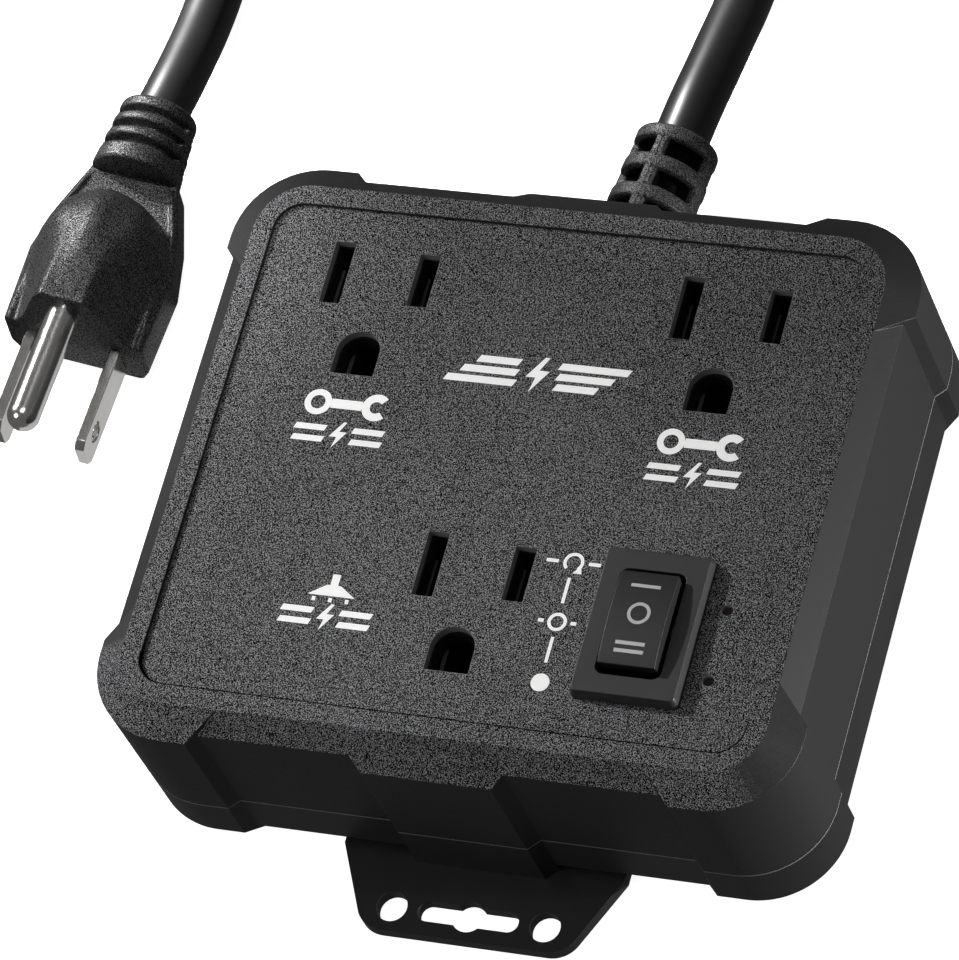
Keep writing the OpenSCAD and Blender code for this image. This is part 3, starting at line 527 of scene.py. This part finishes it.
def make_relief():
    lean = Matrix.Translation(RELIEF_AT) @ Matrix.Rotation(math.radians(RELIEF_LEAN), 4, "Z")
    windows = [(4.35 + 5 * i, 6.95 + 5 * i) for i in range(3)]
    rings = ribbed(lean, RELIEF_L, relief_radius, windows, 3.4,
                   lambda x, z: max(rib_share(x, 1.1), rib_share(z, 1.7)))
    root = [(38.3, 4), (38.3, 7), (40.3, 7), (40.3, 5.2), (44.8, 5.2), (44.8, 6.2), (45.6, 6.2)]
    inside = []
    for y, r in root:
        inside.append([Vector((RELIEF_AT[0] + r * math.cos(2 * math.pi * k / AROUND), y,
                               RELIEF_AT[2] + r * math.sin(2 * math.pi * k / AROUND))) * MM
                       for k in range(AROUND)])
    verts, faces = loft(inside + rings)
    obj = make("strain_relief_sleeve", verts, faces, RELIEF, "box")
    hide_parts("strain_relief")
    seam_path = [lean @ Vector((0, s, relief_radius(s) - 0.03)) * MM
                 for s in (0.4 * i for i in range(2, 47))]
    thread("strain_relief_seam", seam_path, 0.00008, RELIEF)
    return obj


def thread(name, path, radius, material):
    """Thin raised line along a path."""
    cu = bpy.data.curves.new(name, "CURVE")
    cu.dimensions = "3D"
    cu.bevel_depth = radius
    cu.bevel_resolution = 2
    cu.use_fill_caps = True
    sp = cu.splines.new("POLY")
    sp.points.add(len(path) - 1)
    for q, p in zip(sp.points, path):
        q.co = (*p, 1)
    obj = bpy.data.objects.new(name, cu)
    bpy.context.collection.objects.link(obj)
    cu.materials.append(material)
    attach(obj, "box")


# ---- plug -------------------------------------------------------------------

# Plug: middle of its front face, the way it points, and its roll onto one lower edge
PLUG_TURN = -3.6
PLUG_ROLL = 10
PLUG_FOOT_HALF = 9.6
PLUG_AT = (-80.75, 25.1, PLUG_FOOT_HALF * math.sin(math.radians(PLUG_ROLL)))
PLUG_L = 27
# Slab of the body, hump on it (height, radius and middle of its round end) and neck (middle, length)
SLAB_H = 9.8
HUMP_H = 11.2
HUMP_R = 9.9
HUMP_Y = 12
NECK_Z = 8.4
NECK_L = 10.6


def plug_half(y):
    """Half the body's width at a distance from its front."""
    stops = [(0, 10.6), (12, 10.9), (19, 9.4), (27, 6.6)]
    for (y0, w0), (y1, w1) in zip(stops, stops[1:]):
        if y <= y1:
            return w0 + (w1 - w0) * (y - y0) / (y1 - y0)
    return stops[-1][1]


def hump(x, y):
    """Height of the grip above the slab: a bell over the round pin that widens into a shallow arch."""
    edge = abs(x) / HUMP_R if y < HUMP_Y else math.hypot(x, y - HUMP_Y) / HUMP_R
    if edge >= 1:
        return 0.0
    crown, foot = 2.8, 9.4
    t = max(0.0, min(1.0, (abs(x) - crown) / (foot - crown)))
    bell = 0.5 + 0.5 * math.cos(math.pi * t)
    arch = 0.6 + 0.32 * math.cos(math.pi * x / (2 * HUMP_R)) + 0.055 * math.cos(2 * math.pi * x / 7)
    along = 0.8 * smooth_step(y / 16)
    rear = max(0.0, (y - 13) / (HUMP_Y + HUMP_R - 13))
    fall = 1 - 0.3 * min(1.0, rear) ** 2
    return HUMP_H * fall * (bell * (1 - along) + arch * along) * math.sqrt(1 - edge ** 6)


def plug_top(x, y):
    """Height of the body's top, with a bead along each side."""
    rail = plug_half(y) - 0.85
    bead = 0.5 * math.exp(-((abs(x) - rail) / 0.42) ** 2) * smooth_step((26 - y) / 2)
    return SLAB_H - 0.45 + bead + hump(x, y)


# Points across the top of a section of the plug
ACROSS = 84


def plug_ring(y, inset, place):
    """Section of the plug's body at one distance from its front."""
    w = plug_half(y) - inset
    pts = [(-w + 1.6, inset), (w - 1.6, inset), (w - 1.1, inset + 0.3), (w - 0.1, 2.4), (w, 3.2), (w, 6),
           (w, SLAB_H - 0.9), (w - 0.08, SLAB_H - 0.62)]
    for i in range(ACROSS + 1):
        x = (w - 0.25) * (1 - 2 * i / ACROSS)
        pts.append((x, plug_top(x, y) - inset))
    pts += [(-w + 0.08, SLAB_H - 0.62), (-w, SLAB_H - 0.9), (-w, 6), (-w, 3.2), (-w + 0.1, 2.4),
            (-w + 1.1, inset + 0.3)]
    return [place @ Vector((x, y, z)) * MM for x, z in pts]


def make_plug():
    place = (Matrix.Translation(PLUG_AT) @ Matrix.Rotation(math.radians(PLUG_TURN), 4, "Z")
             @ Matrix.Rotation(math.radians(PLUG_ROLL), 4, "Y"))
    rings = [plug_ring(0, 0.3, place), plug_ring(0.1, 0.1, place), plug_ring(0.3, 0, place)]
    rings += [plug_ring(0.6 + 0.3 * i, 0, place) for i in range(87)]
    rings += [plug_ring(PLUG_L - 0.3, 0, place), plug_ring(PLUG_L - 0.1, 0.1, place),
              plug_ring(PLUG_L, 0.3, place)]
    verts, faces = loft(rings)
    neck_at = place @ Matrix.Translation((0, PLUG_L - 0.5, NECK_Z))
    windows = [(3.0, 4.1), (5.7, 6.7), (8.3, 9.2)]
    neck = ribbed(neck_at, NECK_L + 0.5, lambda s: 6.7 - 0.09 * s, windows, 4.5,
                  lambda x, z: rib_share(z, 1.5))
    more, more_faces = loft(neck)
    base = len(verts)
    faces += [tuple(i + base for i in f) for f in more_faces]
    obj = make("plug_moulding", verts + more, faces, PLUG, "box")
    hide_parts("plug_body")
    return obj


# ---- cord tie ---------------------------------------------------------------

def make_tie():
    """Fabric strap with rounded corners round the bundle."""
    cx, cy = COIL_AT[0], 202
    half_w, thick = 4.4, 0.75
    reach, top, r = 8.85, 16.75, 4.8
    path = []
    for (y, z), a0 in (((reach - r, top - r), 0), ((-reach + r, top - r), 90),
                       ((-reach + r, r), 180), ((reach - r, r), 270)):
        for i in range(9):
            a = math.radians(a0 + 90 * i / 8)
            path.append((y + r * math.cos(a), z + r * math.sin(a), math.cos(a), math.sin(a)))
    rings = []
    for y, z, ny, nz in path:
        ring = []
        for x, d in ((-half_w, -thick), (-half_w + 0.2, 0), (half_w - 0.2, 0), (half_w, -thick),
                     (half_w - 0.3, -thick), (-half_w + 0.3, -thick)):
            ring.append(Vector((cx + x, cy + y + ny * d, max(0.02, z + nz * d))) * MM)
        rings.append(ring)
    verts = [p for ring in rings for p in ring]
    n, m = len(rings), len(rings[0])
    faces = [(i * m + k, i * m + (k + 1) % m, ((i + 1) % n) * m + (k + 1) % m, ((i + 1) % n) * m + k)
             for i in range(n) for k in range(m)]
    obj = make("tie_strap", verts, faces, STRAP, "box")
    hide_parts("cord_tie")
    return obj


# ---- prints -----------------------------------------------------------------

# Half the thickness of a print
INK = 0.025


class Print:
    """Flat outlines in mm, raised into one thin mesh."""

    def __init__(self):
        self.shapes = []

    def poly(self, pts):
        self.shapes.append(pts)

    def bar(self, x, y, w, h, lean=0.0):
        k = lean * h / 2
        self.poly([(x - w / 2 - k, y - h / 2), (x + w / 2 - k, y - h / 2), (x + w / 2 + k, y + h / 2),
                   (x - w / 2 + k, y + h / 2)])

    def arc(self, x, y, r, t, a0=0, a1=360, steps=32):
        """Stroke of width t along an arc, made of quads."""
        for i in range(steps):
            u, v = (math.radians(a0 + (a1 - a0) * (i + d) / steps) for d in (0, 1))
            self.poly([(x + q * math.cos(w), y + q * math.sin(w))
                       for q, w in ((r - t, u), (r, u), (r, v), (r - t, v))])

    def bolt(self, x, y, h):
        """Lightning bolt, the usual sign for electricity."""
        shape = [(0.1, 0.5), (-0.3, -0.08), (-0.03, -0.08), (-0.12, -0.5), (0.3, 0.12), (0.02, 0.12),
                 (0.22, 0.5)]
        self.poly([(x + px * h, y + py * h) for px, py in shape])

    def make(self, name, material, slot, height, body="box"):
        verts, faces = [], []
        for pts in self.shapes:
            b, n = len(verts), len(pts)
            verts += [Vector((x, y, height(y) - INK)) * MM for x, y in pts]
            verts += [Vector((x, y, height(y) + INK)) * MM for x, y in pts]
            faces.append(tuple(b + n + i for i in range(n)))
            faces.append(tuple(b + i for i in reversed(range(n))))
            faces += [(b + i, b + (i + 1) % n, b + n + (i + 1) % n, b + n + i) for i in range(n)]
        make(name, verts, faces, material, body, smooth=False)


def power_row(p, x, y, w, h):
    """Bolt with two leaning bars on each side, which marks a powered outlet."""
    p.bolt(x, y, h * 1.25)
    side = w / 2 - h * 0.62
    for s in (-1, 1):
        for dy in (-h * 0.27, h * 0.27):
            p.bar(x + s * (h * 0.62 + side / 2), y + dy, side, h * 0.27, lean=0.35)


def wrench(p, x, y):
    """Spanner, for the outlets of the tool."""
    p.bar(x, y, 4.5, 1.4)
    p.arc(x - 4.2, y, 1.95, 0.9)
    p.arc(x + 4.3, y, 2.05, 1.15, 45, 315)


def nozzle(p, x, y):
    """Suction nozzle, for the outlet of the vacuum."""
    p.poly([(x - 3.4, y - 1.5), (x + 3.4, y - 1.5), (x + 1, y + 0.1), (x - 1, y + 0.1)])
    p.bar(x, y + 0.9, 1.1, 1.7)
    for dx in (-2.4, 0, 2.4):
        p.bar(x + dx, y - 2.1, 0.5, 0.6)


def make_prints():
    """Signs of the outlets, an emblem of bars, and automatic, off and on beside the switch."""
    p = Print()
    for x, y, picture in ((-24.8, 5.0, wrench), (26.3, 4.8, wrench), (-18.9, -22.2, nozzle)):
        picture(p, x, y + 2.3)
        power_row(p, x, y - 2.4, 13, 3.2)
    p.bolt(0.9, 14.9, 5.4)
    for s in (-1, 1):
        for k, dy in enumerate((1.6, 0, -1.6)):
            w = 10 - 2 * k if s > 0 else 10 - 2 * (2 - k)
            p.bar(0.9 + s * (2.9 + w / 2), 14.9 + dy, w, 1.05, lean=0.5)
    x = 13.4
    p.arc(x, -12.3, 1.45, 0.45, -50, 230)
    p.poly([(x + 0.2, -13.9), (x + 1.5, -13.9), (x + 1.15, -12.7)])
    for s in (-1, 1):
        p.bar(x + s * 3, -12.3, 1.7, 0.5)
    p.arc(x, -21.2, 1.35, 0.45)
    for s in (-1, 1):
        p.bar(x + s * 2.3, -21.2, 0.8, 0.5)
    p.arc(x, -30.2, 1.3, 1.3)
    for y in (-16.5, -25.35):
        p.bar(x, y, 0.45, 3.8)
    p.make("face_prints", WHITE, "white_plastic", lambda y: PANEL_Z + 0.01)


ROCKER_AT = (25.6, -20.9)
ROCKER_TOP = 37.6
ROCKER_CROWN_R = 34


def rocker_height(y):
    """Height of the rocker's crowned top."""
    d = y - ROCKER_AT[1]
    return ROCKER_TOP - ROCKER_CROWN_R + math.sqrt(ROCKER_CROWN_R ** 2 - d * d)


def make_rocker_marks():
    p = Print()
    x = ROCKER_AT[0]
    p.bar(x, -16.25, 4.1, 0.5)
    p.arc(x + 0.15, -20.4, 1.6, 0.45, steps=48)
    for y in (-24.75, -25.85):
        p.bar(x, y, 4.1, 0.5)
    p.make("rocker_marks", MARK, "white_plastic", rocker_height, body="rocker")


lead, lead_exit = make_lead()
relief = make_relief()
plug = make_plug()
tie = make_tie()
make_prints()
make_rocker_marks()


# ---- floor and light --------------------------------------------------------

def set_stage():
    """White paper that shines by itself, so that it stays even, and throws no light on the object."""
    n = Nodes("floor_paper")
    n.bsdf.inputs["Base Color"].default_value = (0.6, 0.6, 0.6, 1)
    n.bsdf.inputs["Roughness"].default_value = 0.9
    n.bsdf.inputs["Emission Color"].default_value = (1, 1, 1, 1)
    n.bsdf.inputs["Emission Strength"].default_value = 0.95
    me = bpy.data.meshes.new("floor")
    me.from_pydata([(-6, -6, 0), (6, -6, 0), (6, 6, 0), (-6, 6, 0)], [], [(0, 1, 2, 3)])
    floor = bpy.data.objects.new("floor", me)
    bpy.context.collection.objects.link(floor)
    me.materials.append(n.mat)
    floor.location.z = -0.0002
    floor.visible_diffuse = False
    floor.visible_glossy = False


def lamp(name, kind, at, to, power):
    """Light that points from one place to another, in metres."""
    li = bpy.data.lights.new(name, kind)
    li.energy = power
    obj = bpy.data.objects.new(name, li)
    obj.visible_camera = False
    bpy.context.collection.objects.link(obj)
    at, to = Vector(at), Vector(to)
    obj.location = at
    obj.rotation_euler = (to - at).to_track_quat("-Z", "Y").to_euler()
    return li


def area(name, at, to, size, power):
    li = lamp(name, "AREA", at, to, power)
    li.shape = "RECTANGLE"
    li.size, li.size_y = size


def spot(name, at, to, cone, power, radius, blend=1.0):
    """Soft-edged pool of light; cone is its full angle in degrees."""
    li = lamp(name, "SPOT", at, to, power)
    li.spot_size = math.radians(cone)
    li.spot_blend = blend
    li.shadow_soft_size = radius


set_stage()
world = bpy.data.worlds.new("studio")
bpy.context.scene.world = world
world.use_nodes = True
world.node_tree.nodes["Background"].inputs["Color"].default_value = (0.9, 0.9, 0.9, 1)
world.node_tree.nodes["Background"].inputs["Strength"].default_value = 0.12
bpy.context.scene.view_settings.view_transform = "Standard"
# The key lights the whole box; each of the other spots lights one piece
spot("key", (-0.75, 0.26, 0.6), (-0.045, -0.035, 0.03), 15, 31, 0.04)
spot("lead_light", (-0.62, 0.56, 0.76), (0.006, 0.103, 0.007), 5, 210, 0.035, 0.5)
spot("tail_light", (-0.7, 0.56, 0.74), (-0.077, 0.098, 0.006), 4.6, 260, 0.02, 0.5)
spot("plug_light", (-0.72, 0.42, 0.66), (-0.084, 0.045, 0.015), 5, 80, 0.025)
spot("plug_fill", (0.1, 0.12, 0.85), (-0.084, 0.035, 0.015), 6.5, 22, 0.03)
spot("low_right", (0.5, 0, 0.03), (0.05, 0, 0.012), 15, 11, 0.005, 0.4)
area("front_left", (-0.6, -0.55, 0.75), (0, 0, 0), (0.4, 0.4), 2.0)
area("top", (0.1, 0.0, 1.2), (0, 0, 0), (0.5, 0.5), 1.2)
# Strip under the plug's pins, which shows only as a reflection in them
area("pin_card", (-0.07, 0.008, 0.001), (-0.07, 0.009, 1), (0.034, 0.056), 0.0024)
bpy.data.objects["pin_card"].visible_diffuse = False

# ---- finish -----------------------------------------------------------------

for name, width in (("top_cover", 0.00022), ("bottom_cover", 0.00022), ("switch_body", 0.00012),
                    ("switch_rocker", 0.00018), ("plug_hot_blade", 0.0002),
                    ("plug_neutral_blade", 0.0002)):
    soften(name, width)
